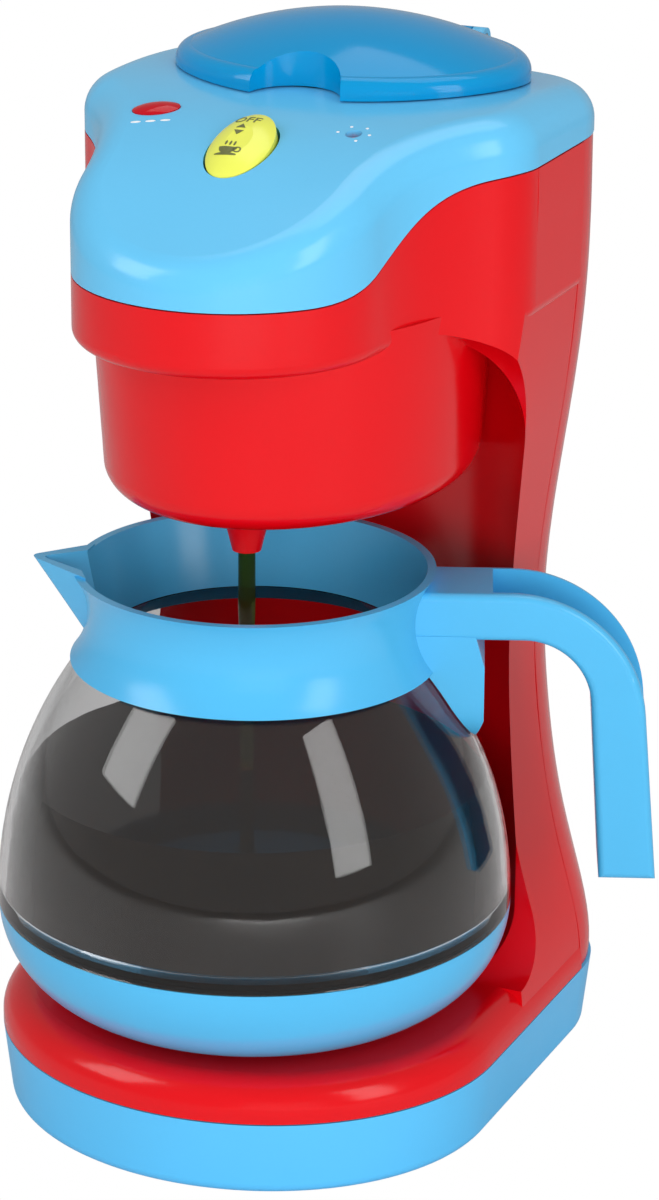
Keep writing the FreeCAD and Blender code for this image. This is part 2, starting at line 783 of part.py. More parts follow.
# Lid: an oval dome that follows the top face, with a finger notch in front

def dome(inset):
    half = LID_HALF - inset
    r = LID_SHOULDER_R - inset
    top = LID_TOP_Z - inset
    flat = LID_HALF - LID_SHOULDER_R
    sag = flat ** 2 / (2 * LID_CROWN_R)
    low = 215.0
    s = math.sqrt(0.5)
    edge_z = top - sag
    edges = [line(V(0, 0, low), V(half, 0, low)),
             line(V(half, 0, low), V(half, 0, edge_z - r)),
             arc(V(half, 0, edge_z - r), V(flat + r * s, 0, edge_z - r + r * s),
                 V(flat, 0, edge_z)),
             arc(V(flat, 0, edge_z), V(flat / 2, 0, top - sag / 4), V(0, 0, top)),
             line(V(0, 0, top), V(0, 0, low))]
    matrix = FreeCAD.Matrix()
    matrix.scale(V(1, (LID_LONG - inset) / half, 1))
    return turned(edges).transformGeometry(matrix).translate(V(0, LID_Y, 0))


def lid():
    notch = rod(NOTCH_R, V(0, NOTCH_Y, 200), V(0, NOTCH_Y, 260))
    notch_wall = rod(NOTCH_R + LID_WALL, V(0, NOTCH_Y, 200), V(0, NOTCH_Y, 260))
    body = dome(0).cut(notch).cut(dome(LID_WALL).cut(notch_wall))
    body = body.cut(under_top(-CLEAR))
    for x0, x1 in hinge_spans(HINGE_LUG_W / 2, 0):
        lug = rod(HINGE_KNUCKLE_R, V(x0, HINGE_Y, HINGE_Z), V(x1, HINGE_Y, HINGE_Z))
        web = box(x0, x1, LID_Y + LID_LONG - 3, HINGE_Y, HINGE_Z - 1, HINGE_Z + 1)
        body = body.fuse(lug).fuse(web)
    return body.cut(rod(HINGE_PIN_R + FIT, V(-60, HINGE_Y, HINGE_Z), V(60, HINGE_Y, HINGE_Z)))


pin_end = HINGE_LUG_X + HINGE_LUG_W / 2 + CLEAR + HINGE_BRACKET_W
export("lid", lid())
export("lid_hinge_pin", rod(HINGE_PIN_R, V(-pin_end, HINGE_Y, HINGE_Z), V(pin_end, HINGE_Y, HINGE_Z)))


# Rocker button, resting with its front end down, and what it works

def rocker_button():
    body = domed_oval(BUTTON_WIDE / 2, BUTTON_LONG / 2, BUTTON_SKIRT, BUTTON_EDGE, BUTTON_RISE)
    stem = rod(SWITCH_STEM_R, V(0, 0, -SWITCH_STEM), V(0, 0, -1))
    body = body.fuse(stem).cut(button_pin(BUTTON_PIN_R + FIT, BUTTON_WIDE))
    body.rotate(V(0, 0, -BUTTON_PIN_DEPTH), V(1, 0, 0), BUTTON_REST_TILT)
    return on_panel(body, 0, BUTTON_Y, BUTTON_SLOPE)


def switch_place():
    """Y and Z of the end of the button's stem when it stands square to the panel."""
    t = math.radians(BUTTON_SLOPE)
    return (BUTTON_Y + SWITCH_STEM * math.sin(t), top_z(BUTTON_Y) - SWITCH_STEM * math.cos(t))


def switch_body():
    y, z = switch_place()
    top = z - SWITCH_STEM_R * math.sin(math.radians(BUTTON_SLOPE + BUTTON_REST_TILT)) - CLEAR
    return box(-SWITCH_WIDE / 2, SWITCH_WIDE / 2, y - SWITCH_LONG / 2, y + SWITCH_LONG / 2,
               BOARD_Z + BOARD_T, top)


def control_board():
    board = box(-BOARD_X, BOARD_X, BOARD_FRONT, BOARD_BACK, BOARD_Z, BOARD_Z + BOARD_T)
    corners = [e for e in board.Edges if e.BoundBox.ZLength > BOARD_T / 2]
    return board.makeFillet(POST_R, corners)


def lamp(x, y, r, top):
    """Small lamp that stands on the board, with a collar at its foot."""
    low = BOARD_Z + BOARD_T
    body = rod(r, V(x, y, low), V(x, y, top - r)).fuse(Part.makeSphere(r, V(x, y, top - r)))
    return body.fuse(rod(r + 0.4, V(x, y, low), V(x, y, low + 1)))


export("rocker_button", rocker_button())
pin = button_pin(BUTTON_PIN_R, BUTTON_WIDE / 2 + BUTTON_GAP + BUTTON_WELL_WALL)
export("rocker_pin", on_panel(pin, 0, BUTTON_Y, BUTTON_SLOPE))
export("power_switch", switch_body())
export("control_board", control_board())
lens = domed_oval(LENS_LONG / 2, LENS_WIDE / 2, LENS_DEPTH, 0.2, LENS_RISE)
export("signal_lens", on_panel(lens, LENS_X, LENS_Y, LENS_SLOPE, LENS_TURN))
export("small_lamp", lamp(LAMP_X, LAMP_Y, LAMP_R, top_z(LAMP_Y) - LAMP_SUNK))
export("lens_lamp", lamp(LENS_X, LENS_Y, LENS_LAMP_R, top_z(LENS_Y) - LENS_DEPTH - 1.2))


# Drip nozzle in the drum's floor

def drip_nozzle():
    low = DRUM_BOTTOM - FIT
    body = turned_polygon([(SPIGOT_BORE, NOZZLE_TIP_Z), (NOZZLE_TIP_R, NOZZLE_TIP_Z),
                           (NOZZLE_TOP_R, low), (NOZZLE_STEM_R, low),
                           (NOZZLE_STEM_R, NOZZLE_STEM_TOP),
                           (TUBE_BORE - FIT, NOZZLE_STEM_TOP),
                           (TUBE_BORE - FIT, NOZZLE_STEM_TOP + SPIGOT_L),
                           (SPIGOT_BORE, NOZZLE_STEM_TOP + SPIGOT_L)])
    return body.translate(V(0, NOZZLE_Y, 0))


export("drip_nozzle", drip_nozzle())


# Pump, motor and tubes

def pump_housing():
    top = PUMP_Z + PUMP_H
    body = rod(PUMP_R, V(0, PUMP_Y, PUMP_Z), V(0, PUMP_Y, top))
    inlet = rod(TUBE_BORE - FIT, V(0, PUMP_Y, top - 1), V(0, PUMP_Y, top + SPIGOT_L))
    port_z = PUMP_Z + PUMP_H / 2
    outlet = rod(TUBE_BORE - FIT, V(PUMP_R - 1, PUMP_Y, port_z),
                 V(PUMP_R + SPIGOT_L, PUMP_Y, port_z))
    body = fuse([body, inlet, outlet])
    body = body.cut(rod(PUMP_R - PUMP_WALL, V(0, PUMP_Y, PUMP_Z + PUMP_WALL),
                        V(0, PUMP_Y, top - PUMP_WALL)))
    body = body.cut(rod(SHAFT_R + CLEAR / 2, V(0, PUMP_Y, PUMP_Z - 1), V(0, PUMP_Y, PUMP_Z + 3)))
    body = body.cut(rod(SPIGOT_BORE, V(0, PUMP_Y, PUMP_Z + 3), V(0, PUMP_Y, top + 20)))
    return body.cut(rod(SPIGOT_BORE, V(0, PUMP_Y, port_z), V(50, PUMP_Y, port_z)))


def impeller():
    low = PUMP_Z + PUMP_WALL + 1
    parts = [rod(SHAFT_R, V(0, PUMP_Y, PUMP_Z - MOTOR_L / 2), V(0, PUMP_Y, low + IMPELLER_H)),
             rod(IMPELLER_R, V(0, PUMP_Y, low), V(0, PUMP_Y, low + 1))]
    for k in range(BLADES):
        blade = box(0, IMPELLER_R - 0.4, PUMP_Y - 0.5, PUMP_Y + 0.5, low, low + IMPELLER_H)
        blade.rotate(V(0, PUMP_Y, 0), V(0, 0, 1), 360 / BLADES * k)
        parts.append(blade)
    return fuse(parts)


def pump_motor():
    body = rod(MOTOR_R, V(0, PUMP_Y, PUMP_Z - MOTOR_L), V(0, PUMP_Y, PUMP_Z - FIT))
    return body.cut(rod(SHAFT_R + FIT / 2, V(0, PUMP_Y, PUMP_Z - MOTOR_L / 2 - 1),
                        V(0, PUMP_Y, PUMP_Z + 1)))


export("pump_housing", pump_housing())
export("impeller", impeller())
export("pump_motor", pump_motor())
feed = [V(0, PUMP_Y, PUMP_Z + PUMP_H + FIT), V(0, PUMP_Y, TANK_FLOOR_Z - TANK_WALL - FIT)]
export("feed_tube", tube(TUBE_R, TUBE_BORE, feed[0], feed[1]))
port_z = PUMP_Z + PUMP_H / 2
rise = [V(PUMP_R + FIT, PUMP_Y, port_z), V(TUBE_X, PUMP_Y, port_z),
        V(TUBE_X, PUMP_Y, TUBE_RUN_Z), V(TUBE_X, -NOZZLE_Y, TUBE_RUN_Z),
        V(0, NOZZLE_Y, TUBE_RUN_Z), V(0, NOZZLE_Y, NOZZLE_STEM_TOP + FIT)]
export("rise_tube", hose(rise, TUBE_BEND_R, TUBE_R, TUBE_BORE))


# Batteries, their box, contacts and door

def along_row(make):
    """One piece for each battery, every second one turned end for end."""
    made = []
    for k in range(CELL_COUNT):
        y = BOX_Y + (k - (CELL_COUNT - 1) / 2) * CELL_PITCH
        piece = make(y)
        made.append(piece.mirror(V(0, 0, 0), V(1, 0, 0)) if k % 2 else piece)
    return made


def cell(y):
    x0 = -cells_half()[0] + CONTACT_T + SPRING_L + FIT
    body = rod(CELL_R, V(x0, y, CELL_Z), V(x0 + CELL_L, y, CELL_Z))
    nub = rod(CELL_NUB_R, V(x0, y, CELL_Z), V(x0 + CELL_L + CELL_NUB_H, y, CELL_Z))
    return body.fuse(nub)


def contact_spring(y):
    x0 = -cells_half()[0] + CONTACT_T / 2
    return Part.makeCone(CELL_R * 0.6, CELL_NUB_R * 0.8, SPRING_L + CONTACT_T / 2,
                         V(x0, y, CELL_Z), V(1, 0, 0))


def battery_contacts():
    hx, hy = cells_half()
    springs = along_row(contact_spring)
    ends = []
    for s in (-1, 1):
        x0, x1 = sorted((s * hx, s * (hx - CONTACT_T)))
        plate = box(x0, x1, BOX_Y - hy + 1, BOX_Y + hy - 1, CELL_Z - 5, CELL_Z + 5)
        ends.append(fuse([plate] + [c for c in springs if c.BoundBox.Center.x * s > 0]))
    return Part.makeCompound(ends)


def battery_box():
    hx, hy = cells_half()
    outer = box_about(hx + BOX_WALL, hy + BOX_WALL, FLOOR, BOX_TOP)
    return outer.cut(box_about(hx, hy, 0, BOX_TOP - BOX_WALL))


def battery_door():
    door = door_plan(0, 0, DOOR_T - FIT)
    hx, hy = cells_half()
    for x in (-hx / 2, hx / 2):
        door = door.fuse(box(x - 1, x + 1, BOX_Y - hy + 1, BOX_Y + hy - 1,
                             DOOR_T / 2, CELL_Z - CELL_R - FIT))
    y = door_screw_y()
    door = door.cut(rod(SCREW_R + FIT, V(0, y, -1), V(0, y, DOOR_T + 1)))
    return door.cut(rod(SCREW_HEAD_R + FIT, V(0, y, -1), V(0, y, DOOR_T / 2 + FIT)))


export("batteries", Part.makeCompound(along_row(cell)))
export("battery_contacts", battery_contacts())
export("battery_box", battery_box())
export("battery_door", battery_door())


# Screws

def screw(head, tip, head_h):
    """Screw from the outer face of its head to its tip, with a slot in the head."""
    way = (tip - head).normalize()
    body = rod(SCREW_HEAD_R, head, head + way * head_h).fuse(rod(SCREW_R, head, tip))
    cross = V(1, 0, 0)
    slot = box(-SCREW_HEAD_R * 0.7, SCREW_HEAD_R * 0.7, -0.3, 0.3, -1, head_h * 0.4)
    turn = FreeCAD.Rotation(V(0, 0, 1), way)
    slot.transformShape(FreeCAD.Placement(head, turn).toMatrix())
    return body.cut(slot)


base_screws = [screw(V(x, y, 1.0 - FIT), V(x, y, DECK_TOP - WALL - 1), SCREW_HEAD_H)
               for x, y in BASE_SCREWS]
export("base_screws", Part.makeCompound(base_screws))
seat_y = COVER_SEAM_Y + BOSS_DEPTH
back_screws = [screw(V(x, seat_y + SCREW_HEAD_H + FIT, z),
                     V(x, COVER_SEAM_Y - BOSS_DEPTH + 1.5, z), SCREW_HEAD_H)
               for x, z in BACK_SCREWS]
export("back_screws", Part.makeCompound(back_screws))
y = door_screw_y()
export("door_screw", screw(V(0, y, FIT), V(0, y, DOOR_BOSS_TOP - 3), DOOR_T / 2 - FIT))


# Pot, made with its handle along +X and then turned

def bowl_r(z, grow=0.0):
    """Radius of the bowl's upper curve at a height."""
    radius = POT_R - POT_ARC_X + grow
    return POT_ARC_X + math.sqrt(radius ** 2 - (z - POT_LINE_Z) ** 2)


def bowl_curve(z0, z1, grow):
    mid = (z0 + z1) / 2
    return arc(V(bowl_r(z0, grow), 0, z0), V(bowl_r(mid, grow), 0, mid),
               V(bowl_r(z1, grow), 0, z1))


def cup_curve(depth):
    """Quarter round of the pot's bottom, some way in from the base cup's face."""
    r = POT_LINE_Z - POT_FOOT_Z - depth
    cx = POT_R - (POT_LINE_Z - POT_FOOT_Z)
    s = math.sqrt(0.5)
    return arc(V(cx, 0, POT_LINE_Z - r), V(cx + r * s, 0, POT_LINE_Z - r * s),
               V(cx + r, 0, POT_LINE_Z))


def pot_form(depth, grow, top, blend):
    """Solid of the pot's round form: bottom some way in, upper curve moved by grow."""
    low = POT_FOOT_Z + depth
    cx = POT_R - (POT_LINE_Z - POT_FOOT_Z)
    side = POT_R - depth
    edges = [line(V(0, 0, low), V(cx, 0, low)),
             cup_curve(depth),
             line(V(side, 0, POT_LINE_Z), V(bowl_r(POT_LINE_Z + blend, grow), 0,
                                            POT_LINE_Z + blend)),
             bowl_curve(POT_LINE_Z + blend, top, grow),
             line(V(bowl_r(top, grow), 0, top), V(0, 0, top)),
             line(V(0, 0, top), V(0, 0, low))]
    return turned(edges)


def pot_bowl():
    depth = CUP_WALL + FIT
    outer = pot_form(depth, 0, BOWL_TOP_Z, 0)
    return outer.cut(pot_form(depth + POT_WALL, -POT_WALL, BOWL_TOP_Z + 1, 4))


def pot_base():
    low = POT_FOOT_Z
    cx = POT_R - (POT_LINE_Z - POT_FOOT_Z)
    side = POT_R - CUP_WALL
    edges = [line(V(0, 0, low), V(cx, 0, low)), cup_curve(0),
             line(V(POT_R, 0, POT_LINE_Z), V(side, 0, POT_LINE_Z)), cup_curve(CUP_WALL),
             line(V(cx, 0, low + CUP_WALL), V(0, 0, low + CUP_WALL)),
             line(V(0, 0, low + CUP_WALL), V(0, 0, low))]
    body = turned(edges)
    return body.common(rod(POT_R + 5, V(0, 0, 0), V(0, 0, POT_LINE_Z - SEAM / 2)))


def coffee():
    return pot_form(CUP_WALL + POT_WALL + 2 * FIT, -POT_WALL - FIT, COFFEE_Z, 4)


def collar_inside():
    """The room inside the collar, with the seat of the bowl's neck at its foot."""
    top = COLLAR_TOP_Z + 8
    rim = COLLAR_RIM_R - COLLAR_WALL
    neck = bowl_r(BOWL_TOP_Z, -POT_WALL)
    seat = BOWL_TOP_Z + FIT
    grow = 1.5 * FIT
    low = COLLAR_LOW_Z - 1
    waist = COLLAR_WAIST_R - COLLAR_WALL
    edges = [line(V(0, 0, low), V(bowl_r(low, grow), 0, low)),
             bowl_curve(low, seat, grow),
             line(V(bowl_r(seat, grow), 0, seat), V(neck, 0, seat)),
             arc(V(neck, 0, seat), V(waist, 0, COLLAR_WAIST_Z + 2), V(rim, 0, COLLAR_TOP_Z)),
             line(V(rim, 0, COLLAR_TOP_Z), V(rim, 0, top)),
             line(V(rim, 0, top), V(0, 0, top)),
             line(V(0, 0, top), V(0, 0, low))]
    return turned(edges)


def beak(inset):
    """Wedge of the spout on -X, widening and reaching out towards its top."""
    rings = []
    top = COLLAR_TOP_Z + 2 * SPOUT_RISE
    for z, tip, half in ((SPOUT_LOW_Z, COLLAR_WAIST_R, SPOUT_LOW_HALF),
                         (top, SPOUT_TIP + SPOUT_RISE, SPOUT_HALF)):
        x0 = -SPOUT_ROOT + (0 if inset == 0 else 4)
        point = -tip + inset * 1.4
        pts = [V(x0, half - inset, z), V(point, 0, z), V(x0, inset - half, z)]
        rings.append(Part.makePolygon(pts + pts[:1]))
    body = Part.makeLoft(rings, True, True)
    sharp = [e for e in body.Edges if e.BoundBox.XMax < -COLLAR_WAIST_R + 3
             and e.BoundBox.ZLength > 5]
    return body.makeFillet(SPOUT_TIP_R if inset == 0 else SPOUT_TIP_R / 2, sharp)


def handle_path(x, z, corner_x, end_x, end_z, r):
    return rounded_path([V(x, 0, z), V(corner_x, 0, z), V(end_x, 0, end_z)], r)


def across(edges, half):
    """Prism from a profile in the XZ plane, to both sides of it."""
    prism_y = face(edges).extrude(V(0, 2 * half, 0))
    return prism_y.translate(V(0, -half, 0))


def handle():
    low = HANDLE_TOP_Z - HANDLE_ROOT_H
    inner_end = HANDLE_END_X - HANDLE_END_T
    inner_corner = HANDLE_REACH - HANDLE_ROOT_H
    root = COLLAR_WAIST_R - 2
    outer = handle_path(root, HANDLE_TOP_Z, HANDLE_REACH, HANDLE_END_X, HANDLE_END_Z,
                        HANDLE_BEND_R)
    inner = handle_path(root, low, inner_corner, inner_end, HANDLE_END_Z, HANDLE_INNER_R)
    ends = [line(V(root, 0, HANDLE_TOP_Z), V(root, 0, low)),
            line(V(HANDLE_END_X, 0, HANDLE_END_Z), V(inner_end, 0, HANDLE_END_Z))]
    body = across(outer + inner + ends, HANDLE_W / 2)
    long_edges = [e for e in body.Edges if e.BoundBox.YLength < 0.1 and e.BoundBox.XMin > root + 1]
    body = body.makeFillet(HANDLE_EDGE, long_edges)
    w = HANDLE_WALL
    floor = handle_path(HANDLE_CHANNEL_X, low + w, inner_corner + w, inner_end + w,
                        HANDLE_END_Z + w, HANDLE_INNER_R + w)
    far = HANDLE_END_X + 20
    high = HANDLE_TOP_Z + 20
    around = [line(V(inner_end + w, 0, HANDLE_END_Z + w), V(far, 0, HANDLE_END_Z + w)),
              line(V(far, 0, HANDLE_END_Z + w), V(far, 0, high)),
              line(V(far, 0, high), V(HANDLE_CHANNEL_X, 0, high)),
              line(V(HANDLE_CHANNEL_X, 0, high), V(HANDLE_CHANNEL_X, 0, low + w))]
    return body.cut(across(floor + around, HANDLE_W / 2 - w))


def hook():
    """Tongue under the handle's root that hugs the bowl, round at its tip."""
    low = HANDLE_TOP_Z - HANDLE_ROOT_H
    profile = polygon_xz([(COLLAR_WAIST_R - 2, low + 1), (HOOK_X - 2, low + 1),
                          (HOOK_X, low - 6), (HOOK_X, HOOK_LOW_Z + 6),
                          (HOOK_X - 2, HOOK_LOW_Z), (40, HOOK_LOW_Z)],
                         -HANDLE_W / 2, HANDLE_W / 2)
    r = HANDLE_W / 2
    z = HOOK_LOW_Z + r
    plate = box(30, 70, -r, r, z, low + 5).fuse(rod(r, V(30, 0, z), V(70, 0, z)))
    form = pot_form(0, CLEAR, COLLAR_LOW_Z + 3, 0)
    return profile.common(plate).cut(form)


def pot_collar():
    ring = turned([line(V(0, 0, COLLAR_LOW_Z), V(COLLAR_LOW_R, 0, COLLAR_LOW_Z)),
                   arc(V(COLLAR_LOW_R, 0, COLLAR_LOW_Z), V(COLLAR_WAIST_R, 0, COLLAR_WAIST_Z),
                       V(COLLAR_RIM_R, 0, COLLAR_TOP_Z)),
                   line(V(COLLAR_RIM_R, 0, COLLAR_TOP_Z), V(0, 0, COLLAR_TOP_Z)),
                   line(V(0, 0, COLLAR_TOP_Z), V(0, 0, COLLAR_LOW_Z))])
    body = fuse([ring, beak(0), handle(), hook()])
    body = body.cut(collar_inside()).cut(beak(COLLAR_WALL))
    slope = SPOUT_RISE / (SPOUT_TIP - SPOUT_ROOT)
    far = SPOUT_TIP + 10
    above = polygon_xz([(-SPOUT_ROOT, COLLAR_TOP_Z), (-far, COLLAR_TOP_Z
                        + slope * (far - SPOUT_ROOT)), (-far, COLLAR_TOP_Z + 20),
                        (-SPOUT_ROOT, COLLAR_TOP_Z + 20)], -40, 40)
    above = above.fuse(box(-SPOUT_ROOT - 1, 0, -40, 40, COLLAR_TOP_Z, COLLAR_TOP_Z + 20))
    return body.cut(above)


def pot_turned(shape):
    turned_shape = shape.copy()
    turned_shape.rotate(V(0, 0, 0), V(0, 0, 1), POT_TURN)
    return turned_shape


export("pot_bowl", pot_turned(pot_bowl()))
export("pot_base", pot_turned(pot_base()))
export("pot_collar", pot_turned(pot_collar()))
export("coffee", pot_turned(coffee()))
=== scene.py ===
# %% [markdown]
# # A toy coffee maker
#
# The shells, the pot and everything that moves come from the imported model, already in
# their places. This lesson gives each of them a finish, and adds what only shows: the
# prints on the button, the marks on the panel and the stream of drink.

# %% Load the frame
import json
import math

import bpy
from mathutils import Matrix, Vector


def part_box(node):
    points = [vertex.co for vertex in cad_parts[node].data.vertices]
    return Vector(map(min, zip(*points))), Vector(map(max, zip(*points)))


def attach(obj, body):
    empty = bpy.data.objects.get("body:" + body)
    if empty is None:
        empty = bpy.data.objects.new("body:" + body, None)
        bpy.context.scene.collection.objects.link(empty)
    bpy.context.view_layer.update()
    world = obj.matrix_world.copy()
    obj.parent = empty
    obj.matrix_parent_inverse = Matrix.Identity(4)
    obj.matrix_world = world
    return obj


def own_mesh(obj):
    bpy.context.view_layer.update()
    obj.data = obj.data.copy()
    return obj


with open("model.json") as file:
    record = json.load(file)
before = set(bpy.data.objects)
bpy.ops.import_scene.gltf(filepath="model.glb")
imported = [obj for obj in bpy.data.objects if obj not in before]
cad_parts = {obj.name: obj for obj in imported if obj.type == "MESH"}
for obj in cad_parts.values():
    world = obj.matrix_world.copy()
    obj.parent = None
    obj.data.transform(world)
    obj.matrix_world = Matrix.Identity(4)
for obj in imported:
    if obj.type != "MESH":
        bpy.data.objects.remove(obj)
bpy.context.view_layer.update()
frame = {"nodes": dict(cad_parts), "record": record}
nodes = frame["nodes"]

# %% [markdown]
# ## Sums on sockets
#
# A finish is a small net of nodes. Written as plain sums it stays readable, so one class
# wraps a socket, and a sum on it adds the Math node that does it.

# %% A socket that does sums
class Value:
    def __init__(self, finish, socket):
        self.finish = finish
        self.socket = socket

    def sum_with(self, operation, other, swapped=False):
        pair = (other, self) if swapped else (self, other)
        return self.finish.add("ShaderNodeMath", {"operation": operation}, *pair)

    def __add__(self, other):
        return self.sum_with("ADD", other)

    def __radd__(self, other):
        return self.sum_with("ADD", other, True)

    def __sub__(self, other):
        return self.sum_with("SUBTRACT", other)

    def __rsub__(self, other):
        return self.sum_with("SUBTRACT", other, True)

    def __mul__(self, other):
        return self.sum_with("MULTIPLY", other)

    def __rmul__(self, other):
        return self.sum_with("MULTIPLY", other, True)


# %% A finish: one material with its shader
class Finish:
    def __init__(self, name, **constants):
        self.material = bpy.data.materials.new(name)
        self.material.use_nodes = True
        self.tree = self.material.node_tree
        self.tree.nodes.clear()
        self.shader = self.tree.nodes.new("ShaderNodeBsdfPrincipled")
        output = self.tree.nodes.new("ShaderNodeOutputMaterial")
        self.tree.links.new(self.shader.outputs[0], output.inputs["Surface"])
        for socket, value in constants.items():
            self.shader.inputs[socket.replace("_", " ")].default_value = value
        self.place = self.add("ShaderNodeTexCoord", {}, output="Object")

    def add(self, kind, settings, *values, output=0, **named):
        """One node: its type, its settings, then the values or links of its sockets."""
        node = self.tree.nodes.new(kind)
        for key, value in settings.items():
            if key == "stops":
                ramp = node.color_ramp
                while len(ramp.elements) > 1:
                    ramp.elements.remove(ramp.elements[-1])
                ramp.elements[0].position, ramp.elements[0].color = value[0]
                for position, colour in value[1:]:
                    ramp.elements.new(position).color = colour
            else:
                setattr(node, key, value)
        sockets = [s for s in node.inputs if s.enabled]
        pairs = list(zip(sockets, values))
        pairs += [(next(s for s in sockets if s.name == k.replace("_", " ")), v)
                  for k, v in named.items()]
        for socket, value in pairs:
            if isinstance(value, Value):
                self.tree.links.new(value.socket, socket)
            else:
                socket.default_value = value
        return Value(self, node.outputs[output])

    def noise(self, scale, detail=3.0, place=None):
        """Cloudy values about a half; scale is in waves per metre."""
        return self.add("ShaderNodeTexNoise", {}, Vector=place or self.place,
                        Scale=scale, Detail=detail)

    def between(self, amount, first, second):
        """A colour between two, by an amount from 0 to 1."""
        return self.add("ShaderNodeMix", {"data_type": "RGBA"}, Factor=amount,
                        A=first, B=second, output=2)

    def set(self, socket, value):
        self.tree.links.new(value.socket, self.shader.inputs[socket])

    def bump(self, height, depth, strength=1.0):
        """Small relief: height from 0 to 1 stands for a depth in metres."""
        self.set("Normal", self.add("ShaderNodeBump", {}, Strength=strength,
                                    Distance=depth, Height=height))


# %% [markdown]
# ## Glossy moulded plastic
#
# The shells come out of a polished mould, so they shine, with a very faint ripple that
# bends the reflections, fine dust in places, and a colour that drifts a little with the
# thickness of the wall. The same function makes each colour, with its own gloss.

# %% Moulded plastic
def rgba(colour, alpha=1.0):
    return (*colour, alpha)


def scaled(colour, factor):
    return tuple(min(c * factor, 1.0) for c in colour)


def plastic(name, colour, roughness=0.16, ripple=0.00002, drift=0.06, **constants):
    finish = Finish(name, IOR=1.48, **constants)
    cloud = finish.noise(16.0, 4.0)
    grain = finish.noise(900.0, 3.0)
    tint = finish.between(cloud * 0.8 + grain * 0.2, rgba(scaled(colour, 1 - drift)),
                          rgba(scaled(colour, 1 + drift)))
    finish.set("Base Color", tint)
    smear = finish.noise(55.0, 5.0)
    finish.set("Roughness", roughness * 0.75 + smear * (roughness * 0.5))
    wave = finish.noise(70.0, 2.0) * 0.8 + finish.noise(1600.0, 2.0) * 0.2
    finish.bump(wave, ripple)
    return finish


BLUE = (0.12, 0.51, 0.82)
POT_BLUE = (0.075, 0.45, 0.78)
TRAY_BLUE = (0.09, 0.49, 0.85)
RED = (0.68, 0.001, 0.005)
YELLOW = (0.77, 0.80, 0.10)
finishes = {
    "blue": plastic("shell blue", BLUE, 0.2),
    "tray_blue": plastic("tray blue", TRAY_BLUE, 0.34, 0.00003),
    "red": plastic("housing red", RED, 0.17, Specular_IOR_Level=0.36),
    "yellow": plastic("button yellow", YELLOW, 0.2),
    "white_plastic": plastic("plain white", (0.78, 0.78, 0.75), 0.3),
    "black_plastic": plastic("plain black", (0.03, 0.03, 0.032), 0.4),
    "board_green": plastic("board green", (0.02, 0.16, 0.06), 0.35),
    "cell_wrap": plastic("cell sleeve", (0.04, 0.05, 0.09), 0.25),
    "tube_clear": plastic("milky tube", (0.75, 0.78, 0.76), 0.3, Alpha=0.8),
}
print("plastics:", len(finishes))

# %% [markdown]
# ## Lid, lens and bowl
#
# The lid is moulded in a deeper, cloudy blue that lets a little light through. The lens
# is clear red. The bowl is thin and colourless, so the drink and the far wall show.

# %% Clear and cloudy plastics
def cloudy(name, colour, roughness, through, ior=1.46):
    finish = Finish(name, IOR=ior, Transmission_Weight=through, Specular_IOR_Level=0.25)
    cloud = finish.noise(22.0, 4.0)
    finish.set("Base Color", finish.between(cloud, rgba(scaled(colour, 0.94)),
                                            rgba(scaled(colour, 1.04))))
    finish.set("Roughness", roughness * 0.7 + finish.noise(60.0, 4.0) * (roughness * 0.6))
    finish.bump(finish.noise(60.0, 2.0), 0.00002)
    return finish


finishes["lid_blue"] = cloudy("lid blue", (0.0, 0.36, 0.75), 0.12, 0.25)
finishes["lens_red"] = cloudy("lens red", (0.72, 0.0, 0.012), 0.08, 0.35)
finishes["clear"] = cloudy("clear bowl", (0.98, 0.985, 0.99), 0.015, 1.0)

# %% [markdown]
# ## Drink and metal
#
# The drink is almost black, its brown drifting a little from place to place. The steel of
# pins and screws is drawn wire, with fine lines along it.

# %% Drink and steel
drink = Finish("drink", IOR=1.33, Specular_IOR_Level=0.12)
depth = drink.noise(30.0, 3.0)
drink.set("Base Color", drink.between(depth, (0.012, 0.006, 0.003, 1), (0.03, 0.017, 0.01, 1)))
drink.set("Roughness", 0.03 + drink.noise(80.0) * 0.05)
finishes["coffee"] = drink

steel = Finish("steel", Metallic=1.0)
lines = steel.noise(2500.0, 2.0)
steel.set("Base Color", steel.between(lines, (0.5, 0.5, 0.5, 1), (0.68, 0.68, 0.67, 1)))
steel.set("Roughness", 0.25 + lines * 0.2)
finishes["steel"] = steel

# The pot is a deeper blue than the cover, and the small lamp glows a little in its hole
own_finish = {"pot_collar": plastic("pot blue", POT_BLUE, 0.22)}
own_finish["pot_base"] = own_finish["pot_collar"]
lamp_red = cloudy("lamp red", (0.8, 0.0, 0.01), 0.1, 0.1)
LAMP_GLOW = 0.7
lamp_red.shader.inputs["Emission Color"].default_value = (1.0, 0.01, 0.01, 1)
lamp_red.shader.inputs["Emission Strength"].default_value = LAMP_GLOW
own_finish["small_lamp"] = lamp_red

# %% Give every node its finish
slots = {s["node"]: s["material_slot"] for s in frame["record"]["subparts"]}
for name, obj in nodes.items():
    finish = own_finish.get(name, finishes[slots[name]])
    for slot in obj.material_slots:
        slot.material = finish.material
    if not obj.material_slots:
        obj.data.materials.append(finish.material)
print("dressed:", len(nodes))

# %% [markdown]
# ## The camera
#
# The camera looks down at the pot's axis from the front right. Its place comes from the
# pot's circles, and the frame is shifted a little because the object doesn't stand in
# the middle of the picture.

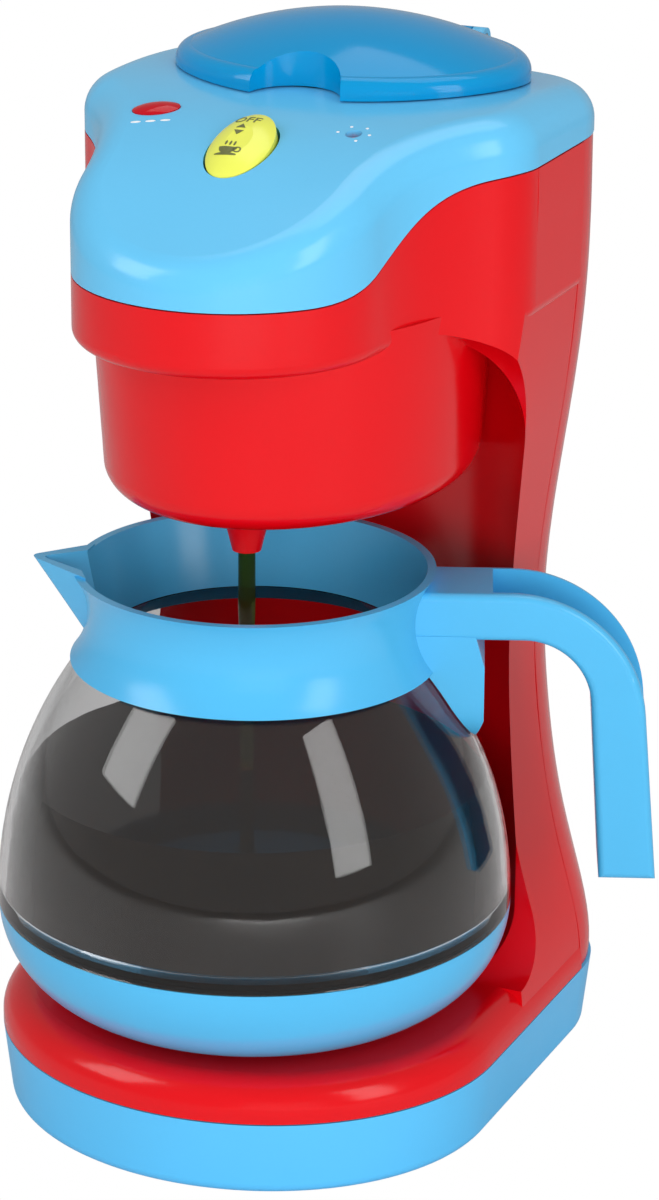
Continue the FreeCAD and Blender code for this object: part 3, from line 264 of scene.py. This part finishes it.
# %% Camera
AIM = Vector((0, 0, 0.11854))
AZIMUTH = math.radians(25.0)
PITCH = math.radians(19.67)
DISTANCE = 0.9
back = Vector((math.sin(AZIMUTH) * math.cos(PITCH), -math.cos(AZIMUTH) * math.cos(PITCH),
               math.sin(PITCH)))
SENSOR = 36.0
LENS = 123.3
SHIFT_X = 0.0624
camera_data = bpy.data.cameras.new("camera")
camera_data.sensor_width = SENSOR
camera_data.lens = LENS
camera_data.shift_x = SHIFT_X
camera = bpy.data.objects.new("camera", camera_data)
bpy.context.collection.objects.link(camera)
camera.location = AIM + back * DISTANCE
camera.rotation_euler = (-back).to_track_quat("-Z", "Y").to_euler()
bpy.context.scene.camera = camera
bpy.context.scene.view_settings.view_transform = "Standard"
print("camera stands", DISTANCE, "m from its aim")

# %% [markdown]
# ## Floor and light
#
# A product picture on white: the floor is pale, and the camera sees it and the world as
# plain white. The object is lit by a weaker world and four soft boxes. The one in front
# lights the bay behind the pot, and isn't mirrored in the pot.

# %% Floor
bpy.ops.object.select_all(action="DESELECT")
FLOOR_SIZE = 6.0
FLOOR_DROP = 0.0004
bpy.ops.mesh.primitive_plane_add(size=FLOOR_SIZE, location=(0, 0, -FLOOR_DROP))
floor = bpy.context.object
floor.name = "floor"
pale = Finish("floor pale", Roughness=0.6)
pale.set("Base Color", pale.between(pale.noise(8.0), (0.64, 0.64, 0.64, 1),
                                    (0.68, 0.68, 0.68, 1)))
white = pale.add("ShaderNodeEmission", {}, Color=(1, 1, 1, 1), Strength=1.0)
path = pale.tree.nodes.new("ShaderNodeLightPath")
mix = pale.add("ShaderNodeMixShader", {}, Value(pale, path.outputs["Is Camera Ray"]),
               Value(pale, pale.shader.outputs[0]), white)
output = next(n for n in pale.tree.nodes if n.type == "OUTPUT_MATERIAL")
pale.tree.links.new(mix.socket, output.inputs["Surface"])
floor.data.materials.append(pale.material)
print("floor:", FLOOR_SIZE, "m wide")

# %% World
world = bpy.data.worlds.new("studio")
bpy.context.scene.world = world
world.use_nodes = True
background = world.node_tree.nodes["Background"]
background.inputs["Color"].default_value = (1, 1, 1, 1)
ray = world.node_tree.nodes.new("ShaderNodeLightPath")
WORLD_LIGHT = 0.42
WORLD_SEEN = 1.0
level = world.node_tree.nodes.new("ShaderNodeMapRange")
level.inputs["To Min"].default_value = WORLD_LIGHT
level.inputs["To Max"].default_value = WORLD_SEEN
world.node_tree.links.new(ray.outputs["Is Camera Ray"], level.inputs["Value"])
world.node_tree.links.new(level.outputs["Result"], background.inputs["Strength"])


# %% Soft boxes
def soft_box(name, place, size, power, aim=(0, 0, 0.12)):
    data = bpy.data.lights.new(name, "AREA")
    data.shape = "RECTANGLE"
    data.size, data.size_y = size
    data.energy = power
    lamp = bpy.data.objects.new(name, data)
    bpy.context.collection.objects.link(lamp)
    lamp.location = place
    lamp.rotation_euler = (Vector(aim) - Vector(place)).to_track_quat("-Z", "Y").to_euler()
    return lamp


soft_box("key left", (-0.75, -0.65, 0.75), (0.5, 0.7), 4.0)
soft_box("fill right", (0.95, -0.35, 0.55), (0.35, 0.8), 3.0)
soft_box("top", (0.05, 0.25, 1.1), (0.8, 0.6), 2.4)
front = soft_box("front fill", (0.55, -1.0, 0.22), (0.7, 0.5), 8.0)
front.visible_glossy = False
front.visible_transmission = False

# %% [markdown]
# ## The stream
#
# The drink falls from the nozzle in one thin rope that narrows as it speeds up. It is
# made as by hand: a short cylinder, whose lower ring is extruded and narrowed again and
# again.

# %% Stream of drink
nozzle_low, nozzle_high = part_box("drip_nozzle")
coffee_low, coffee_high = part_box("coffee")
stream_x = (nozzle_low.x + nozzle_high.x) / 2
stream_y = (nozzle_low.y + nozzle_high.y) / 2
STREAM_R = 0.0019
STREAM_STEPS = 9
STREAM_GAP = 0.0002
fall = nozzle_low.z - coffee_high.z - STREAM_GAP
step = fall / STREAM_STEPS
bpy.ops.object.select_all(action="DESELECT")
bpy.ops.mesh.primitive_cylinder_add(vertices=24, radius=STREAM_R, depth=step,
                                    location=(stream_x, stream_y, nozzle_low.z - step / 2))
stream = bpy.context.object
stream.name = "drink_stream"
bpy.ops.object.transform_apply(location=True)
bpy.ops.object.mode_set(mode="EDIT")
bpy.ops.mesh.select_mode(type="FACE")
bpy.ops.mesh.select_all(action="DESELECT")
bpy.ops.object.mode_set(mode="OBJECT")
lowest = min(stream.data.polygons, key=lambda f: f.center.z)
lowest.select = True
bpy.ops.object.mode_set(mode="EDIT")
for k in range(STREAM_STEPS - 1):
    bpy.ops.mesh.extrude_region_move(TRANSFORM_OT_translate={"value": (0, 0, -step)})
    pinch = 0.93 if k % 3 else 1.03
    bpy.ops.transform.resize(value=(pinch, pinch, 1))
bpy.ops.object.mode_set(mode="OBJECT")
bpy.ops.object.shade_smooth_by_angle(angle=math.radians(50))
wet = Finish("stream", IOR=1.33, Transmission_Weight=0.75)
height = wet.add("ShaderNodeSeparateXYZ", {}, wet.place, output="Z")
thick = (height - coffee_high.z) * (1 / fall)
wet.set("Base Color", wet.between(thick, (0.20, 0.15, 0.05, 1), (0.05, 0.09, 0.01, 1)))
wet.set("Roughness", 0.04 + wet.noise(300.0) * 0.05)
stream.data.materials.append(wet.material)
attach(stream, "machine")
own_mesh(stream)
print("stream falls", round(fall * 1000, 1), "mm")

# %% [markdown]
# ## Prints on the button
#
# The button carries a word, two arrowheads and a cup, printed in a dark ink. Each print
# is a flat shape laid above the button, cut finer, and pressed onto its dome with a
# Shrinkwrap modifier. A Solidify modifier then gives the ink a hair of thickness.

# %% Ink and how a print is pressed on
INK_T = 0.00006
HOVER = 0.003
ABOVE_ALL = 0.4


def ink(name, colour):
    finish = Finish(name)
    patchy = finish.noise(1500.0, 3.0)
    finish.set("Base Color", finish.between(patchy, rgba(colour), rgba(scaled(colour, 1.5))))
    finish.set("Roughness", 0.3 + patchy * 0.2)
    return finish


dark_ink = ink("dark ink", (0.10, 0.11, 0.03))
white_ink = ink("white ink", (0.80, 0.84, 0.86))


def alone(obj):
    bpy.ops.object.select_all(action="DESELECT")
    obj.select_set(True)
    bpy.context.view_layer.objects.active = obj


def surface_under(target, place):
    """The point of a node's surface straight under a place."""
    down = nodes[target].matrix_world.inverted()
    start = down @ Vector((place[0], place[1], ABOVE_ALL))
    hit = nodes[target].ray_cast(start, down.to_3x3() @ Vector((0, 0, -1)))
    assert hit[0], (target, place)
    return nodes[target].matrix_world @ hit[1]


def press(obj, name, target, seat, tilt, turn, body, finish):
    """Hold a flat shape over a place, tilted, press it on a node and let it ride."""
    alone(obj)
    obj.name = name
    bpy.ops.object.transform_apply(location=True, rotation=True, scale=True)
    bpy.ops.object.mode_set(mode="EDIT")
    bpy.ops.mesh.select_all(action="SELECT")
    bpy.ops.mesh.quads_convert_to_tris()
    bpy.ops.mesh.subdivide(number_cuts=2)
    bpy.ops.mesh.normals_make_consistent(inside=False)
    bpy.ops.object.mode_set(mode="OBJECT")
    if sum(f.normal.z for f in obj.data.polygons) < 0:
        obj.data.flip_normals()
    lean = Matrix.Rotation(tilt, 4, "X")
    seat = surface_under(target, seat) + lean @ Vector((0, 0, HOVER))
    obj.matrix_world = Matrix.Translation(seat) @ lean @ Matrix.Rotation(turn, 4, "Z")
    wrap = obj.modifiers.new("press", "SHRINKWRAP")
    wrap.wrap_method = "PROJECT"
    wrap.use_project_z = True
    wrap.use_positive_direction = False
    wrap.use_negative_direction = True
    wrap.target = nodes[target]
    wrap.offset = INK_T / 2
    bpy.ops.object.modifier_apply(modifier="press")
    shell = obj.modifiers.new("ink", "SOLIDIFY")
    shell.thickness = INK_T
    shell.offset = 1
    bpy.ops.object.modifier_apply(modifier="ink")
    bpy.ops.object.transform_apply(location=True, rotation=True, scale=True)
    obj.data.materials.clear()
    obj.data.materials.append(finish.material)
    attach(obj, body)
    return obj


# %% Flat shapes to print
def flat_disc(radius, place, corners=24, stretch=(1, 1), turn=0.0):
    bpy.ops.object.select_all(action="DESELECT")
    bpy.ops.mesh.primitive_circle_add(vertices=corners, radius=radius, fill_type="NGON",
                                      location=(place[0], place[1], 0),
                                      rotation=(0, 0, turn))
    disc = bpy.context.object
    disc.scale = (stretch[0], stretch[1], 1)
    bpy.ops.object.transform_apply(location=True, rotation=True, scale=True)
    return disc


def joined(parts):
    bpy.ops.object.select_all(action="DESELECT")
    for part in parts:
        part.select_set(True)
    bpy.context.view_layer.objects.active = parts[0]
    if len(parts) > 1:
        bpy.ops.object.join()
    return bpy.context.object


# %% Seat of the button's prints
button_low, button_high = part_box("rocker_button")
BUTTON_TILT = math.radians(25.0)
PRINTS_LEFT = 0.0012
button_seat = ((button_low.x + button_high.x) / 2 - PRINTS_LEFT,
               (button_low.y + button_high.y) / 2)

# %% The word
bpy.ops.object.select_all(action="DESELECT")
bpy.ops.object.text_add(location=(0, 0.0043, 0))
word = bpy.context.object
word.data.body = "OFF"
word.data.size = 0.0035
word.data.align_x = "CENTER"
bpy.ops.object.convert(target="MESH")
press(word, "print_off", "rocker_button", button_seat, BUTTON_TILT, 0, "rocker", dark_ink)

# %% The arrowheads
up = flat_disc(0.0011, (0, 0.0023), corners=3, stretch=(1.15, 0.9))
down = flat_disc(0.0011, (0, 0.0004), corners=3, stretch=(1.15, 0.9), turn=math.pi)
press(joined([up, down]), "print_arrows", "rocker_button", button_seat, BUTTON_TILT, 0,
      "rocker", dark_ink)

# %% The cup
CUP_Y = -0.0048


def half_disc(radius, place):
    """A disc whose upper half is cut away, for the bowl of the cup."""
    disc = flat_disc(radius, place, corners=32)
    alone(disc)
    bpy.ops.object.mode_set(mode="EDIT")
    bpy.ops.mesh.select_all(action="SELECT")
    bpy.ops.mesh.bisect(plane_co=(place[0], place[1], 0), plane_no=(0, 1, 0),
                        clear_outer=True, use_fill=False)
    bpy.ops.object.mode_set(mode="OBJECT")
    return disc


def flat_ring(radius, width, place):
    """A disc with its middle taken out: the face is inset and the inner one deleted."""
    ring = flat_disc(radius, place)
    alone(ring)
    bpy.ops.object.mode_set(mode="EDIT")
    bpy.ops.mesh.select_mode(type="FACE")
    bpy.ops.mesh.select_all(action="SELECT")
    bpy.ops.mesh.inset(thickness=width)
    bpy.ops.mesh.delete(type="FACE")
    bpy.ops.object.mode_set(mode="OBJECT")
    return ring


cup = half_disc(0.0021, (0, CUP_Y))
saucer = flat_disc(0.0026, (0, CUP_Y - 0.0022), stretch=(1, 0.14))
ear = flat_ring(0.0009, 0.0003, (0.0022, CUP_Y - 0.0007))
steam = [flat_disc(0.0007, (x, CUP_Y + 0.0012), stretch=(0.32, 1.0))
         for x in (-0.0010, 0.0, 0.0010)]
press(joined([cup, saucer, ear] + steam), "print_cup", "rocker_button", button_seat,
      BUTTON_TILT, 0, "rocker", dark_ink)

# %% [markdown]
# ## Small marks on the panel
#
# A few plain white dots and dashes stand by the lens and the small lamp, in place of
# pictures. They are pressed on the cover in the same way.

# %% Marks by the lens and the lamp
lens_low, lens_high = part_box("signal_lens")
lamp_low, lamp_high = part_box("small_lamp")
lens_mid = (lens_low + lens_high) / 2
lamp_mid = (lamp_low + lamp_high) / 2
PANEL_TILT = math.radians(15.0)
LAMP_TILT = math.radians(11.0)
dashes = [flat_disc(0.0005, (x, 0), stretch=(2.2, 0.8)) for x in (-0.0032, 0.0, 0.0032)]
press(joined(dashes), "marks_by_lens", "top_cover",
      (lens_mid.x + 0.0015, lens_mid.y - 0.0062), PANEL_TILT, math.radians(20), "machine",
      white_ink)
# The dots' seat is beside the lamp's hole, because straight over it there is no surface
BESIDE = 0.003
dots = []
for k in range(5):
    angle = math.radians(-60 + 60 * k)
    dots.append(flat_disc(0.00035, (0.0036 * math.cos(angle) - BESIDE,
                                    0.0036 * math.sin(angle))))
press(joined(dots), "marks_by_lamp", "top_cover",
      (lamp_mid.x + BESIDE, lamp_mid.y), LAMP_TILT, 0, "machine", white_ink)
